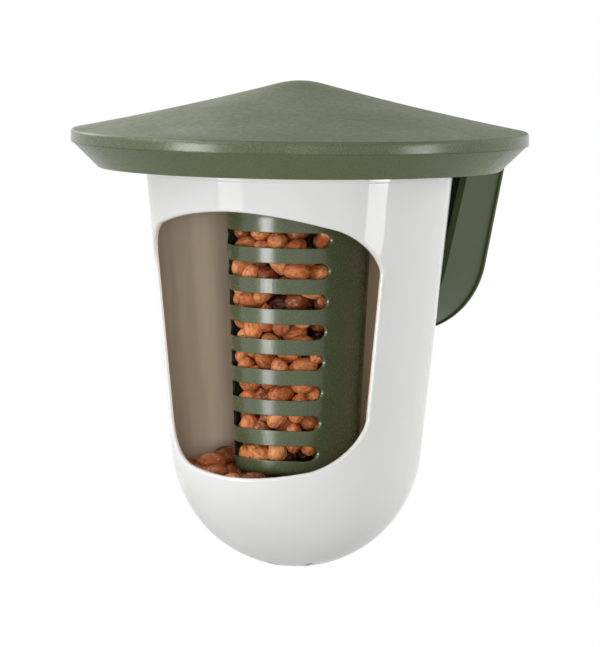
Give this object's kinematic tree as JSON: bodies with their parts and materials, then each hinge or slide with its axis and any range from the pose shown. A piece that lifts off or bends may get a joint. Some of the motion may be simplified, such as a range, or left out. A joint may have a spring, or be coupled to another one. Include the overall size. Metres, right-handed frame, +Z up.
{
  "type": "silo bird feeder",
  "caption": "Wall-hung bird feeder: tapered housing with an arched window, a slotted silo of peanuts inside, a lift-off conical roof and a scoop-shaped wall bracket.",
  "frame": {"origin": "midway between the two wall screws, on the wall face", "axes": "+Z up, +Y into the wall, the window looks along -Y, +X to the right of the window seen from the front"},
  "size_m": [0.225, 0.2275, 0.2401],
  "materials": {
    "bracket_green": "fine-grained matte",
    "shell_white": "glossy",
    "liner_taupe": "satin",
    "socket_white": "matte",
    "screw_steel": "plain",
    "peanut": "dry wrinkled skins",
    "silo_green": "fine-grained satin",
    "roof_green": "fine-grained matte"
  },
  "bodies": {
    "bracket": {"wall_bracket": "bracket_green"},
    "housing": {"housing_shell": "shell_white", "housing_liner": "liner_taupe", "hanger_socket": "socket_white", "hanger_screws": "screw_steel", "peanut_bed": "peanut", "peanuts_in_bowl": "peanut"},
    "silo": {"silo_tube": "silo_green", "silo_funnel": "silo_green", "peanut_column": "peanut", "peanuts_in_silo": "peanut"},
    "roof": {"roof_cap": "roof_green", "roof_collar": "roof_green", "roof_screws": "screw_steel"}
  },
  "joints": [
    {"name": "housing_lift", "type": "slide", "parent": "bracket", "child": "housing", "axis": [0, 0, 1], "range_m": [0, 0.04]},
    {"name": "silo_lift", "type": "slide", "parent": "housing", "child": "silo", "axis": [0, 0, 1], "range_m": [0, 0.165]},
    {"name": "roof_lift", "type": "slide", "parent": "silo", "child": "roof", "axis": [0, 0, 1], "range_m": [0, 0.06]}
  ]
}
